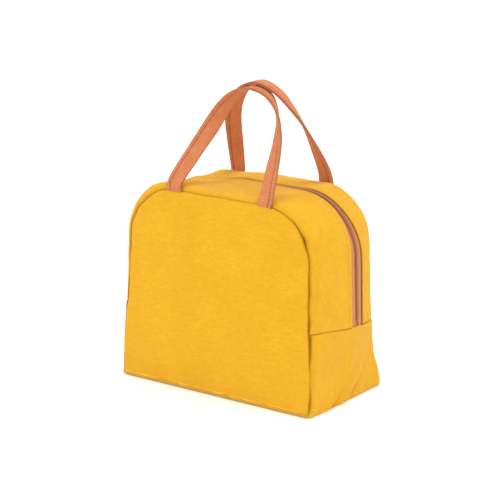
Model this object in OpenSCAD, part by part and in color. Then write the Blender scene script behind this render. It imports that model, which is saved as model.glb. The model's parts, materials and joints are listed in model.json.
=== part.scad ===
// Insulated canvas lunch bag: two leaning panels, a gusset that a zip runs round,
// a base band, foam and foil inside, and two webbing handles.
// Millimetres, Z up, front panel towards -Y, origin at the centre of the base.

/* [Body] */
// Width across the bulging sides
body_w = 252; // [210:1:310]
// Height of the gusset above the base, at its crest
body_h = 219; // [180:1:270]
// Depth of the base, front to back
base_d = 138; // [112:1:170]
// Depth between the two top seams
top_d = 114; // [94:1:140]
// Radius of the two rounded top corners, at the crest of the gusset
corner_r = 64; // [45:1:76]
// How far the gusset bulges past the panels' edges
bulge = 7; // [3:0.5:9]
// Height of the seam on top of the base band
band_h = 80; // [60:1:100]

/* [Layers] */
// Thickness of the canvas
canvas_t = 1; // [0.6:0.1:1.4]
// Thickness of the foam
foam_t = 5; // [3:0.5:7]
// Thickness of the foil lining
lining_t = 0.5; // [0.3:0.1:0.8]

/* [Lid] */
// Half the width of the stretch of gusset that opens
lid_half = 75; // [70:1:84]
// Room between pieces that move apart
edge_gap = 0.4; // [0.3:0.05:0.6]

/* [Zip] */
// How far the zip lies behind the middle
zip_y = 8; // [0:1:14]
// Gap in the canvas that shows the zip
slot_w = 20; // [16:1:24]
// Width of each tape
tape_w = 14; // [12.5:0.5:17]
// Thickness of the tape
tape_t = 0.8; // [0.5:0.1:1]
// Width of one row of the coil
coil_w = 2.4; // [1.8:0.1:3]
// Height of the coil on its tape
coil_t = 1.8; // [1.4:0.1:2.2]
// Gap between the two rows, which the slider's neck runs in
chain_gap = 1.6; // [1.5:0.1:2]
// Length of the slider
slider_l = 10; // [8:0.5:12]
// Length of the pull tab
tab_l = 24; // [18:1:30]

/* [Handles] */
// Distance between the two feet of a handle
handle_spread = 116; // [100:1:124]
// Height of the handles above the top seams
handle_h = 109; // [90:1:145]
// Width of the webbing
strap_w = 18; // [16:1:24]
// Thickness of the folded webbing
strap_t = 3; // [2:0.2:3.6]
// How square the handles' arch is
arch_power = 2; // [1.7:0.1:2.6]
// How far behind the middle the crowns of the handles meet
crown_back = 10; // [0:1:12]

/* [Hidden] */
arc_r = (top_d * top_d / 4 + bulge * bulge) / (2 * bulge);   // radius of the gusset's bulge
lean = atan((base_d - top_d) / 2 / body_h);                  // how far the panels lean in
corner_x = body_w / 2 - corner_r;
corner_z = body_h - corner_r;
seam_z = body_h - bulge;                                     // height of the top seams
seam_y = panel_y(seam_z, 0);                                 // distance of the top seams from the middle
wall_t = canvas_t + foam_t + lining_t;
far = 2 * (body_w + body_h);                                 // longer than anything in the bag
slider_wall = 0.9;                                           // thickness of the slider's plates
slider_room = 0.5;                                           // room between slider and coil
slider_half = chain_gap / 2 + coil_w + edge_gap + slider_wall;
slider_z = band_h + 6;                                       // foot of the slider, zip closed
coil_x = body_w / 2 - canvas_t + coil_t;                     // outer face of the coil on the sides
plate_x = coil_x + slider_room + slider_wall;                // outer face of the slider
pin_r = 0.8;
pin_x = plate_x + 2.2;                                       // axis of the pull tab
pin_z = slider_z + 0.6 * slider_l;
tab_t = 1.4;
tab_w = 6;
eye_room = 0.1;                                              // room between pin and tab
stop_h = 3;                                                  // height of the zip's end stops
foot_r = 0.55 * strap_t;                                     // radius of a handle's rounded foot
foot_z = seam_z + foot_r + edge_gap;                         // height of the axis that the feet turn about
front_twist = 2.2;                                           // how late the front handle twists
rear_twist = 1.1;                                            // how late the rear handle twists
foot_hem = 0.3;                                              // how far the folded foot stands out each side
arch_steps = 44;
$fn = 96;

// Distance of a panel's plane from the middle at height z, set in by inset
function panel_y(z, inset) = base_d / 2 - (base_d - top_d) / 2 * z / body_h - inset / cos(lean);

// Everything inside the gusset's own surface, set in by inset, with no panels yet
module gusset_solid(inset) {
  intersection_for(side = [-1, 1])
    translate([side * (body_w / 2 - arc_r), 0, inset]) cylinder(r = arc_r - inset, h = corner_z - inset);
  intersection() {
    translate([0, 0, body_h - arc_r]) rotate([0, 90, 0])
      cylinder(r = arc_r - inset, h = 2 * corner_x, center = true);
    translate([-corner_x, -base_d, band_h]) cube([2 * corner_x, 2 * base_d, body_h]);
  }
  for (side = [-1, 1])
    translate([side * corner_x, 0, corner_z]) rotate([90, 0, 0]) rotate_extrude() intersection() {
      translate([corner_r - arc_r, 0]) circle(r = arc_r - inset);
      translate([0, -base_d / 2 - bulge]) square([2 * corner_r, base_d + 2 * bulge]);
    }
}

// Everything between the two leaning panels, set in by inset
module between_panels(inset) {
  top_z = body_h + bulge;
  low_y = panel_y(-bulge, inset);
  high_y = panel_y(top_z, inset);
  rotate([90, 0, 90]) linear_extrude(far, center = true)
    polygon([[-low_y, -bulge], [low_y, -bulge], [high_y, top_z], [-high_y, top_z]]);
}

// One layer of a leaning panel, from one depth in the wall to another; side -1 is the front
module panel_layer(side, from, to, edge) {
  top_z = body_h + bulge;
  intersection() {
    gusset_solid(edge);
    rotate([90, 0, 90]) linear_extrude(far, center = true)
      polygon([for (spot = [[-bulge, from], [-bulge, to], [top_z, to], [top_z, from]])
        [side * panel_y(spot[0], spot[1]), spot[0]]]);
  }
}

// One layer of the gusset and base, from one depth in the wall to another
module gusset_layer(from, to, panel_inset) {
  difference() {
    intersection() {
      gusset_solid(from);
      between_panels(panel_inset);
    }
    gusset_solid(to);
  }
}

// Keeps what lies between two depths y, above the base band
module above_band(y0, y1) {
  intersection() {
    children();
    translate([-far / 2, y0, band_h]) cube([far, y1 - y0, far]);
  }
}

// Keeps the front or rear strip of a gusset layer, up to a distance from the zip's line
module strip(side, from_zip) {
  if (side < 0) above_band(-base_d, zip_y - from_zip) children();
  else above_band(zip_y + from_zip, base_d) children();
}

// Keeps the fixed stretch of a strip at one end of the lid; the right is the left's mirror image
module at_side(side) {
  mirror([side > 0 ? 1 : 0, 0, 0]) intersection() {
    children();
    translate([-far, -far / 2, 0]) cube([far - lid_half - edge_gap / 2, far, far]);
  }
}

// Keeps the stretch of a strip that opens
module at_lid() {
  half = lid_half - edge_gap / 2;
  intersection() {
    children();
    translate([-half, -far / 2, corner_z]) cube([2 * half, far, far]);
  }
}

// Keeps what belongs to the base band
module below_seam() {
  intersection() {
    children();
    translate([-far / 2, -far / 2, 0]) cube([far, far, band_h]);
  }
}

// Strips of canvas, foam and lining, front or rear
module canvas_strip(side, panel_gap) {
  strip(side, slot_w / 2) gusset_layer(0, canvas_t, canvas_t + panel_gap);
}
module foam_strip(side) {
  strip(side, tape_w + edge_gap) gusset_layer(canvas_t, canvas_t + foam_t, wall_t + edge_gap);
}
module lining_strip(side) {
  strip(side, tape_w + edge_gap) gusset_layer(canvas_t + foam_t, wall_t, wall_t + edge_gap);
}

// Tape and coil of one half of the zip, all the way round
module tape_strip(side) {
  y0 = side < 0 ? zip_y - tape_w : zip_y + chain_gap / 2;
  above_band(y0, y0 + tape_w - chain_gap / 2)
    gusset_layer(canvas_t, canvas_t + tape_t, 0);
}
module coil_strip(side) {
  y0 = side < 0 ? zip_y - chain_gap / 2 - coil_w : zip_y + chain_gap / 2;
  foot_z = band_h + stop_h + 2 * edge_gap;
  intersection() {
    above_band(y0, y0 + coil_w) gusset_layer(canvas_t - coil_t, canvas_t, 0);
    translate([-far / 2, -far / 2, foot_z]) cube([far, far, far]);
  }
}

module front_panel() { color("#f0b332") panel_layer(-1, 0, canvas_t, 0); }
module back_panel() { color("#f0b332") panel_layer(1, 0, canvas_t, 0); }
module base_band() { color("#eeb033") below_seam() gusset_layer(0, canvas_t, canvas_t); }

module front_gusset_left() { color("#f2b736") at_side(-1) canvas_strip(-1, 0); }
module front_gusset_right() { color("#f2b736") at_side(1) canvas_strip(-1, 0); }
module rear_gusset_left() { color("#f2b736") at_side(-1) canvas_strip(1, 0); }
module rear_gusset_right() { color("#f2b736") at_side(1) canvas_strip(1, 0); }
module front_lid() { color("#f2b736") at_lid() canvas_strip(-1, edge_gap); }
module rear_lid() { color("#f2b736") at_lid() canvas_strip(1, edge_gap); }

module front_foam() {
  color("#e9e9e4") panel_layer(-1, canvas_t, canvas_t + foam_t, canvas_t + edge_gap);
}
module back_foam() {
  color("#e9e9e4") panel_layer(1, canvas_t, canvas_t + foam_t, canvas_t + edge_gap);
}
module base_foam() {
  color("#e9e9e4") below_seam() gusset_layer(canvas_t, canvas_t + foam_t, wall_t + edge_gap);
}
module front_foam_left() { color("#e9e9e4") at_side(-1) foam_strip(-1); }
module front_foam_right() { color("#e9e9e4") at_side(1) foam_strip(-1); }
module rear_foam_left() { color("#e9e9e4") at_side(-1) foam_strip(1); }
module rear_foam_right() { color("#e9e9e4") at_side(1) foam_strip(1); }
module front_lid_foam() { color("#e9e9e4") at_lid() foam_strip(-1); }
module rear_lid_foam() { color("#e9e9e4") at_lid() foam_strip(1); }

module front_lining() {
  color("#c9ccd0") panel_layer(-1, canvas_t + foam_t, wall_t, canvas_t + edge_gap);
}
module back_lining() {
  color("#c9ccd0") panel_layer(1, canvas_t + foam_t, wall_t, canvas_t + edge_gap);
}
module base_lining() {
  color("#c9ccd0") below_seam() gusset_layer(canvas_t + foam_t, wall_t, wall_t + edge_gap);
}
module front_lining_left() { color("#c9ccd0") at_side(-1) lining_strip(-1); }
module front_lining_right() { color("#c9ccd0") at_side(1) lining_strip(-1); }
module rear_lining_left() { color("#c9ccd0") at_side(-1) lining_strip(1); }
module rear_lining_right() { color("#c9ccd0") at_side(1) lining_strip(1); }
module front_lid_lining() { color("#c9ccd0") at_lid() lining_strip(-1); }
module rear_lid_lining() { color("#c9ccd0") at_lid() lining_strip(1); }

// Both fixed ends of one half's tape or coil
module both_sides() { for (side = [-1, 1]) at_side(side) children(); }

module zip_tape_front_sides() { color("#d98f56") both_sides() tape_strip(-1); }
module zip_tape_rear_sides() { color("#d98f56") both_sides() tape_strip(1); }
module zip_tape_front_lid() { color("#d98f56") at_lid() tape_strip(-1); }
module zip_tape_rear_lid() { color("#d98f56") at_lid() tape_strip(1); }
module zip_coil_front_sides() { color("#b86a3c") both_sides() coil_strip(-1); }
module zip_coil_rear_sides() { color("#b86a3c") both_sides() coil_strip(1); }
module zip_coil_front_lid() { color("#b86a3c") at_lid() coil_strip(-1); }
module zip_coil_rear_lid() { color("#b86a3c") at_lid() coil_strip(1); }

// A clamped bar across both rows at each lower end of the zip
module zip_end_stops() {
  half = chain_gap / 2 + coil_w;
  color("#b9a77c") for (side = [-1, 1]) intersection() {
    gusset_layer(canvas_t - coil_t, canvas_t, 0);
    translate([side * body_w / 2 - corner_r / 2, zip_y - half, band_h + edge_gap])
      cube([corner_r, 2 * half, stop_h]);
  }
}

// Two plates with a neck between them, flanges round the coil, and a bail for the tab
module zip_slider() {
  back_x = body_w / 2 - canvas_t - tape_t - slider_room - slider_wall;
  flange_x = body_w / 2 - canvas_t + edge_gap;
  color("#c08a58") translate([0, zip_y, 0]) {
    translate([-plate_x, -slider_half, slider_z]) cube([slider_wall, 2 * slider_half, slider_l]);
    translate([-back_x - slider_wall, -slider_half, slider_z]) cube([slider_wall, 2 * slider_half, slider_l]);
    for (side = [-1, 1])
      translate([-plate_x, side * (slider_half - slider_wall / 2) - slider_wall / 2, slider_z])
        cube([plate_x - flange_x, slider_wall, slider_l]);
    neck_t = chain_gap - 2 * edge_gap;
    translate([-plate_x, -neck_t / 2, slider_z + slider_l - 3]) cube([plate_x - back_x, neck_t, 3]);
    for (side = [-1, 1]) translate([-pin_x, side * (slider_half - slider_wall), pin_z]) {
      rotate([90, 0, 0]) cylinder(r = pin_r * 1.6, h = 2 * slider_wall / 2, center = true);
      translate([0, -slider_wall / 2, -pin_r]) cube([pin_x - plate_x + slider_wall / 2, slider_wall, 2 * pin_r]);
    }
    translate([-pin_x, 0, pin_z]) rotate([90, 0, 0])
      cylinder(r = pin_r, h = 2 * (slider_half - slider_wall), center = true);
  }
}

// Flat tab with an eye round the slider's pin and a hole near its end
module pull_tab() {
  eye_w = 2 * (slider_half - 1.5 * slider_wall - edge_gap);
  eye_r = pin_r + eye_room + 0.8;
  color("#c08a58") translate([-pin_x, zip_y, pin_z]) difference() {
    union() {
      rotate([90, 0, 0]) cylinder(r = eye_r, h = eye_w, center = true);
      translate([-tab_t / 2, -eye_w / 2, -eye_r - 2]) cube([tab_t, eye_w, 3]);
      translate([-tab_t / 2, -tab_w / 2, -tab_l + tab_w / 2]) cube([tab_t, tab_w, tab_l - eye_r - tab_w / 2 - 1.4]);
      translate([0, 0, -tab_l + tab_w / 2]) rotate([0, 90, 0]) cylinder(d = tab_w, h = tab_t, center = true);
    }
    rotate([90, 0, 0]) cylinder(r = pin_r + eye_room, h = tab_w, center = true);
    translate([0, 0, -tab_l + tab_w / 2]) rotate([0, 90, 0]) cylinder(d = tab_w / 3, h = 2 * tab_t, center = true);
  }
}

// Vector helpers for the handles
function unit(v) = v / norm(v);
function tilt(v, axis) = unit(v - (v * axis) * axis);        // v turned square to axis

// Point on a handle's centre line, u from 0 at the left foot to 180 at the right
function arch_rise(u) = pow(max(sin(u), 0), 2 / arch_power);
// How far in the strap has leant at a share s of its height, from 0 at the foot to 1 at the crown
function arch_lean(s) = 1 - pow(1 - s, 2.4) * (1 + 1.2 * s);
function arch_point(side, u) = let (s = arch_rise(u), foot_y = side * seam_y,
    crown_y = crown_back + side * (strap_w / 2 + edge_gap))
  [-handle_spread / 2 * sign(cos(u)) * pow(abs(cos(u)), 2 / arch_power),
   foot_y + (crown_y - foot_y) * arch_lean(s), foot_z + handle_h * s];

// Direction of the strap's width: along X at the feet, along Y at the crown
function strap_side(side, u, twist) =
  let (t = unit(arch_point(side, u + 0.5) - arch_point(side, u - 0.5)),
       across = tilt([0, 1, 0], t),
       turn = -90 * (1 - pow(arch_rise(u), twist)))
  cos(turn) * across + sin(turn) * cross(t, across);

// A flat strap swept along the arch, with a rounded foot at each end that turns on its seam
module strap(side, twist) {
  rings = [for (i = [0:arch_steps]) let (
    u = 180 * i / arch_steps,
    c = arch_point(side, u),
    t = unit(arch_point(side, u + 0.5) - arch_point(side, u - 0.5)),
    w = strap_side(side, u, twist) * strap_w / 2,
    n = unit(cross(t, w)) * strap_t / 2)
    [c - w - n, c + w - n, c + w + n, c - w + n]];
  polyhedron([for (ring = rings) each ring],
    concat([[0, 1, 2, 3]],
      [for (i = [0:arch_steps - 1], k = [0:3]) let (a = 4 * i + k, b = 4 * i + (k + 1) % 4)
        each [[a, a + 4, b], [b, a + 4, b + 4]]],
      [[for (k = [3:-1:0]) 4 * arch_steps + k]]));
  for (foot = [-1, 1]) translate([foot * handle_spread / 2, side * seam_y, foot_z]) rotate([0, 90, 0])
    cylinder(r = foot_r, h = strap_w + 2 * foot_hem, center = true);
}
module front_handle() { color("#d6855a") strap(-1, front_twist); }
module rear_handle() { color("#d6855a") strap(1, rear_twist); }

front_panel();
back_panel();
base_band();
front_gusset_left();
front_gusset_right();
rear_gusset_left();
rear_gusset_right();
front_lid();
rear_lid();
front_foam();
back_foam();
base_foam();
front_foam_left();
front_foam_right();
rear_foam_left();
rear_foam_right();
front_lid_foam();
rear_lid_foam();
front_lining();
back_lining();
base_lining();
front_lining_left();
front_lining_right();
rear_lining_left();
rear_lining_right();
front_lid_lining();
rear_lid_lining();
zip_tape_front_sides();
zip_tape_rear_sides();
zip_tape_front_lid();
zip_tape_rear_lid();
zip_coil_front_sides();
zip_coil_rear_sides();
zip_coil_front_lid();
zip_coil_rear_lid();
zip_end_stops();
zip_slider();
pull_tab();
front_handle();
rear_handle();
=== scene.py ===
import json
import math

import bmesh
import bpy
from mathutils import Matrix, Vector, noise


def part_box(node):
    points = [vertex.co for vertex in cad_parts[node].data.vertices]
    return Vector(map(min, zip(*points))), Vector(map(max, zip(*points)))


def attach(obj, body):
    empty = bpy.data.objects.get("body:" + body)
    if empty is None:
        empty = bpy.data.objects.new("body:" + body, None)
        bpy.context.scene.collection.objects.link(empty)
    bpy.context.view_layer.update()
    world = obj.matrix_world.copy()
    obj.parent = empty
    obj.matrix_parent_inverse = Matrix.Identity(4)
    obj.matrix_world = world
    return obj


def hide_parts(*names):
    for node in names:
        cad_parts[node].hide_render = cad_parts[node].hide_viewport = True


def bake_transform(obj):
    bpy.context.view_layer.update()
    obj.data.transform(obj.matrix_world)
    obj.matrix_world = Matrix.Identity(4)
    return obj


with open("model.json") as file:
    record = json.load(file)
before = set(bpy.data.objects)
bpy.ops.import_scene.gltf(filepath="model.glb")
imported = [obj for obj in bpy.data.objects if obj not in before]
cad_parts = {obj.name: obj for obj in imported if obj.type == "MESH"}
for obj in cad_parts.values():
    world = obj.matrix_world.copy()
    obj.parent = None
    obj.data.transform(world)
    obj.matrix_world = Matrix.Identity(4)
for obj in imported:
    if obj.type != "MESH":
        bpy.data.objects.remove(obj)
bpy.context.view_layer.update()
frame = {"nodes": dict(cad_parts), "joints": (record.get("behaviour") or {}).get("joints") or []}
mm = 0.001
nodes = frame["nodes"]
joints = {joint["name"]: joint for joint in frame["joints"]}
print("frame loaded:", len(nodes), "parts")


# camera, lights and floor

view = {
    "azimuth": 35.97,
    "elevation": 15.7,
    "distance": 2.283,
    "lens": 154.2,
    "sensor": 36,
    "aim": (-0.0006, -0.0005, 0.1449),
    "farthest": 60,
}


def addObject(name, data):
    made = bpy.data.objects.new(name, data)
    bpy.context.scene.collection.objects.link(made)
    return made


def placeCamera():
    turn, rise = math.radians(view["azimuth"]), math.radians(view["elevation"])
    back = Vector((math.sin(turn) * math.cos(rise), -math.cos(turn) * math.cos(rise), math.sin(rise)))
    camera = addObject("camera", bpy.data.cameras.new("camera"))
    camera.location = Vector(view["aim"]) + back * view["distance"]
    camera.rotation_euler = back.to_track_quat("Z", "Y").to_euler()
    camera.data.lens = view["lens"]
    camera.data.sensor_width = view["sensor"]
    camera.data.clip_end = view["farthest"]
    bpy.context.scene.camera = camera


studio = {"sky": 1.0, "floorTone": 1.0, "floorGlow": 0.05, "floorHalf": 6, "lampAim": (0, 0, 0.12)}
lamps = {
    "keyLamp": {"at": (-1.5, -2.0, 1.7), "size": 1.0, "watts": 22},
    "fillLamp": {"at": (2.4, -0.9, 1.3), "size": 1.2, "watts": 12},
    "topLamp": {"at": (0.3, 0.7, 2.4), "size": 1.6, "watts": 24},
}


def placeLamps():
    aim = Vector(studio["lampAim"])
    for name, lamp in lamps.items():
        light = bpy.data.lights.new(name, "AREA")
        light.shape = "DISK"
        light.size = lamp["size"]
        light.energy = lamp["watts"]
        holder = addObject(name, light)
        holder.location = lamp["at"]
        holder.rotation_euler = (Vector(lamp["at"]) - aim).to_track_quat("Z", "Y").to_euler()
    world = bpy.data.worlds.new("studio")
    world.use_nodes = True
    sky = world.node_tree.nodes["Background"]
    sky.inputs["Color"].default_value = (1, 1, 1, 1)
    sky.inputs["Strength"].default_value = studio["sky"]
    bpy.context.scene.world = world


def layFloor():
    mesh = bmesh.new()
    bmesh.ops.create_grid(mesh, x_segments=1, y_segments=1, size=studio["floorHalf"])
    data = bpy.data.meshes.new("floor")
    mesh.to_mesh(data)
    mesh.free()
    finish = Finish("studioFloor", 0.9, Emission_Strength=studio["floorGlow"])
    finish.feed(finish.shader.inputs["Base Color"], tint(*[studio["floorTone"]] * 3))
    data.materials.append(finish.material)
    addObject("floor", data)


# materials: Wire carries a socket through sums, Finish holds one material's nodes


class Wire:
    def __init__(self, finish, socket):
        self.finish = finish
        self.socket = socket

    def __add__(self, other):
        return self.finish.math("ADD", self, other)

    def __radd__(self, other):
        return self.finish.math("ADD", other, self)

    def __mul__(self, other):
        return self.finish.math("MULTIPLY", self, other)

    def __rmul__(self, other):
        return self.finish.math("MULTIPLY", other, self)


class Finish:
    def __init__(self, name, roughness, **shaderValues):
        self.material = bpy.data.materials.new(name)
        self.material.use_nodes = True
        self.tree = self.material.node_tree
        self.shader = self.tree.nodes["Principled BSDF"]
        self.shader.inputs["Roughness"].default_value = roughness
        for socket, value in shaderValues.items():
            self.shader.inputs[socket.replace("_", " ")].default_value = value

    def node(self, kind, settings=None, values=None, output=0):
        made = self.tree.nodes.new(kind)
        for key, value in (settings or {}).items():
            setattr(made, key, value)
        for socket, value in (values or {}).items():
            self.feed(made.inputs[socket], value)
        return Wire(self, made.outputs[output])

    def feed(self, socket, value):
        if isinstance(value, Wire):
            self.tree.links.new(value.socket, socket)
        else:
            socket.default_value = value

    def math(self, operation, first, second=0.0):
        return self.node("ShaderNodeMath", {"operation": operation}, {0: first, 1: second})

    def mixColour(self, share, first, second):
        return self.node("ShaderNodeMix", {"data_type": "RGBA"}, {"Factor": share, 6: first, 7: second}, 2)

    def remap(self, value, low, high, start, end):
        return self.node("ShaderNodeMapRange", None, {"Value": value, 1: low, 2: high, 3: start, 4: end})

    def place(self):
        return self.node("ShaderNodeTexCoord", None, None, "Object")

    def clothMap(self):  # the cloth laid flat, and the distances across and along it
        flat = self.node("ShaderNodeUVMap", {"uv_map": "weave"})
        across = self.node("ShaderNodeSeparateXYZ", None, {0: flat})
        return flat, across, Wire(self, across.socket.node.outputs[1])

    def grain(self, vector, scale, detail=2.0, stretch=(1, 1, 1), twist=0.0):
        spot = self.node("ShaderNodeMapping", None, {"Vector": vector, "Scale": stretch})
        values = {"Vector": spot, "Scale": scale, "Detail": detail, "Distortion": twist}
        return self.node("ShaderNodeTexNoise", None, values)

    def mark(self, name):
        return self.node("ShaderNodeAttribute", {"attribute_name": name}, None, "Fac")

    def surface(self, colour, height, depth, strength, roughness=None):
        self.feed(self.shader.inputs["Base Color"], colour)
        if roughness is not None:
            self.feed(self.shader.inputs["Roughness"], roughness)
        values = {"Height": height, "Distance": depth, "Strength": strength}
        self.feed(self.shader.inputs["Normal"], self.node("ShaderNodeBump", None, values))
        return self.material


def tint(red, green, blue, alpha=1.0):
    return (red, green, blue, alpha)


canvasLook = {
    "warm": tint(0.715, 0.377, 0.011),
    "deep": tint(0.565, 0.264, 0.006),
    "pale": tint(0.790, 0.452, 0.026),
    "pit": tint(0.46, 0.19, 0.005),  # painted shade between the threads
    # the colour of the painted shade in seams and fold valleys
    "creaseShade": tint(0.310, 0.105, 0.003),
    # painted highlight on the fold ridges, and the paler line along each panel's foot
    "paleRidge": tint(0.900, 0.660, 0.190),
    "threadPitch": 0.62 * mm,
    "bump": 0.3 * mm,
}


def canvasFinish():
    finish = Finish("canvas", 0.92, Sheen_Weight=0.07, Sheen_Roughness=0.5, Specular_IOR_Level=0.15)
    flat, across, along = finish.clothMap()
    turns = 2 * math.pi / canvasLook["threadPitch"]
    weave = finish.math("SINE", across * turns) * finish.math("SINE", along * turns) * 0.5 + 0.5
    threads = finish.grain(flat, 900, 2, (1, 0.06, 1)) * 0.5 + finish.grain(flat, 900, 2, (0.06, 1, 1)) * 0.5
    clouds = finish.grain(finish.place(), 22, 4)
    crinkle = finish.grain(flat, 330, 4, (0.32, 1, 1), 1.6)
    tone = finish.mixColour(clouds, canvasLook["deep"], canvasLook["pale"])
    tone = finish.mixColour(finish.remap(threads, 0.35, 0.65, 0.2, 0.85), tone, canvasLook["warm"])
    # darker in the hollows of the crinkles: painted shade
    tone = finish.mixColour(finish.remap(crinkle, 0.38, 0.62, 0.34, 0.0), tone, canvasLook["deep"])
    # darker in the pits of the weave: painted shade
    tone = finish.mixColour(finish.remap(weave, 0.0, 0.35, 0.12, 0.0), tone, canvasLook["pit"])
    # paler on the ridges: painted highlight along the fold ridges, and a paler line along each panel's foot
    tone = finish.mixColour(finish.mark("paleRidge"), tone, canvasLook["paleRidge"])
    # darker in the seams and fold valleys: painted shade
    tone = finish.mixColour(finish.mark("creaseShade"), tone, canvasLook["creaseShade"])
    return finish.surface(tone, weave * 0.35 + threads * 0.6 + crinkle * 2.2, canvasLook["bump"], 0.8)


ribbons = {
    "webbing": {
        "base": tint(0.62, 0.215, 0.085),
        "dark": tint(0.37, 0.100, 0.034),
        "light": tint(0.78, 0.34, 0.17),
        "ribPitch": 3.4 * mm,
        "bump": 0.3 * mm,
    },
    "zipTape": {
        "base": tint(0.64, 0.26, 0.085),
        "dark": tint(0.44, 0.14, 0.04),
        "light": tint(0.74, 0.34, 0.14),
        "ribPitch": 1.1 * mm,
        "bump": 0.18 * mm,
    },
}


def ribbonFinish(name):
    look = ribbons[name]
    finish = Finish(name, 0.88, Sheen_Weight=0.08, Sheen_Roughness=0.45, Specular_IOR_Level=0.2)
    flat, across, along = finish.clothMap()
    turns = 2 * math.pi / look["ribPitch"]
    rib = finish.math("SINE", across * turns)
    slant = finish.math("SINE", along * turns + rib * 0.9)
    ridge = finish.math("ABSOLUTE", rib)
    threads = finish.grain(flat, 1400, 2, (1, 0.2, 1))
    wear = finish.grain(flat, 90, 3)
    # darker between the ribs and lighter on them: painted shade
    shade = ridge * 0.6 + slant * 0.1 + threads * 0.5
    tone = finish.mixColour(finish.remap(shade, 0.15, 0.95, 0.0, 1.0), look["dark"], look["base"])
    tone = finish.mixColour(finish.remap(wear, 0.4, 0.75, 0.0, 0.22), tone, look["light"])
    # darker along the marked grooves and edges: painted shade
    red, green, blue = look["dark"][:3]
    tone = finish.mixColour(finish.mark("creaseShade"), tone, tint(red * 0.5, green * 0.45, blue * 0.4))
    return finish.surface(tone, ridge * 0.7 + slant * 0.15 + threads * 0.4, look["bump"], 0.9)


foilLook = {"dull": tint(0.62, 0.63, 0.65), "bright": tint(0.83, 0.84, 0.86), "bump": 1.2 * mm}


def foilFinish():
    finish = Finish("foilLining", 0.28, Metallic=0.92)
    place = finish.place()
    bent = finish.node("ShaderNodeTexNoise", None, {"Vector": place, "Scale": 55, "Detail": 2}, 1)
    cells = {"Vector": place, "Scale": 90}
    cracks = finish.node("ShaderNodeTexVoronoi", {"feature": "DISTANCE_TO_EDGE"}, cells)
    facets = finish.node("ShaderNodeTexVoronoi", None, {"Vector": bent, "Scale": 6})
    creaseShade = finish.grain(place, 130, 5)
    # the crinkles painted duller and brighter: painted shade and painted reflection
    tone = finish.mixColour(creaseShade, foilLook["dull"], foilLook["bright"])
    height = cracks * 0.6 + facets * 0.5 + creaseShade * 0.8
    return finish.surface(tone, height, foilLook["bump"], 0.8, finish.remap(creaseShade, 0.0, 1.0, 0.2, 0.42))


def foamFinish():
    finish = Finish("cellFoam", 0.7, Subsurface_Weight=0.1)
    cells = finish.node("ShaderNodeTexVoronoi", None, {"Vector": finish.place(), "Scale": 900})
    tone = finish.mixColour(cells, tint(0.80, 0.80, 0.76), tint(0.93, 0.93, 0.90))
    return finish.surface(tone, cells, 0.3 * mm, 0.6)


def metalFinish():
    finish = Finish("zipMetal", 0.34, Coat_Weight=0.35, Coat_Roughness=0.2)
    wear = finish.grain(finish.place(), 800, 4)
    paint, bare = tint(0.50, 0.20, 0.085), tint(0.66, 0.36, 0.20)
    tone = finish.mixColour(finish.remap(wear, 0.55, 0.72, 0.0, 0.5), paint, bare)
    return finish.surface(tone, wear, 0.08 * mm, 0.5, finish.remap(wear, 0.0, 1.0, 0.26, 0.46))


def coilFinish():
    finish = Finish("nylonCoil", 0.38, Coat_Weight=0.2, Coat_Roughness=0.3)
    shade = finish.grain(finish.place(), 600, 2)
    tone = finish.mixColour(shade, tint(0.30, 0.105, 0.045), tint(0.44, 0.180, 0.088))
    return finish.surface(tone, shade, 0.1 * mm, 0.4, finish.remap(shade, 0.0, 1.0, 0.3, 0.5))


def threadFinish(name, dark, light):
    finish = Finish(name, 0.75, Sheen_Weight=0.2)
    values = {"Vector": finish.place(), "Scale": 700}
    twist = finish.node("ShaderNodeTexWave", {"bands_direction": "DIAGONAL"}, values)
    return finish.surface(finish.mixColour(twist, dark, light), twist, 0.1 * mm, 0.6)


# one finish for each slot, and the two threads
finishes = {
    "canvas": canvasFinish(),
    "foam": foamFinish(),
    "foil": foilFinish(),
    "webbing": ribbonFinish("webbing"),
    "zip_tape": ribbonFinish("zipTape"),
    "zip_coil": coilFinish(),
    "zip_metal": metalFinish(),
    "yellowThread": threadFinish("yellowThread", tint(0.62, 0.26, 0.012), tint(0.84, 0.42, 0.04)),
    "rustThread": threadFinish("rustThread", tint(0.42, 0.13, 0.05), tint(0.62, 0.24, 0.10)),
}
print("finishes made")


# the bag's shape: an outline in the XZ plane, walked both ways from the middle of the top;
# "travel" is the distance along it, positive to the right

bag = {
    "footHalf": 125 * mm,  # half width of the panels at the base
    "waistHalf": 118 * mm,  # half width of the panels above the base band
    "waistZ": 150 * mm,
    "topRadius": 60 * mm,
    "footRadius": 4.2 * mm,
    "footHalfDepth": 69 * mm,
    "leftCrest": 125.9 * mm,  # how far out the gusset stands on each side
    "rightCrest": 128.6 * mm,
    "topBulge": 3 * mm,
    "cornerBulge": 7.5 * mm,
    "footBulge": 1 * mm,
    "seamIn": 2.7 * mm,  # how deep the turned seams lie, seen from the side and from the front
    "seamBack": 2.4 * mm,
    "footSeam": 3.4 * mm,  # height of the seam along the foot of each panel
    "footRidge": 1.0 * mm,  # how far that seam stands out
    "rearPinch": 8 * mm,  # how far the bag draws in towards its back, and less so at the two shoulders
    "shoulderOut": 4 * mm,
    "slump": 6.5 * mm,  # how far the top sinks on the left
    "foamLift": -1.3 * mm,  # where the foam and the foil start, from the canvas's outer face
    "foilLift": -6.1 * mm,
    "innerTrim": 6.6 * mm,  # how far they stop short of the seams
}
hinge = joints["rear_lid_open"]["pos_m"]
topZ = hinge[2] + 4.2 * mm
topHalfDepth = hinge[1]
zipY = (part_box("zip_coil_front_lid")[1].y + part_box("zip_coil_rear_lid")[0].y) / 2
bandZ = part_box("base_band")[1].z
bagCore = Vector((0, 0, 0.1))
walls = {"canvas": 0.9 * mm, "foam": 4.4 * mm, "foil": 0.4 * mm, "zip_tape": 0.6 * mm}  # how thick each is

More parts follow.
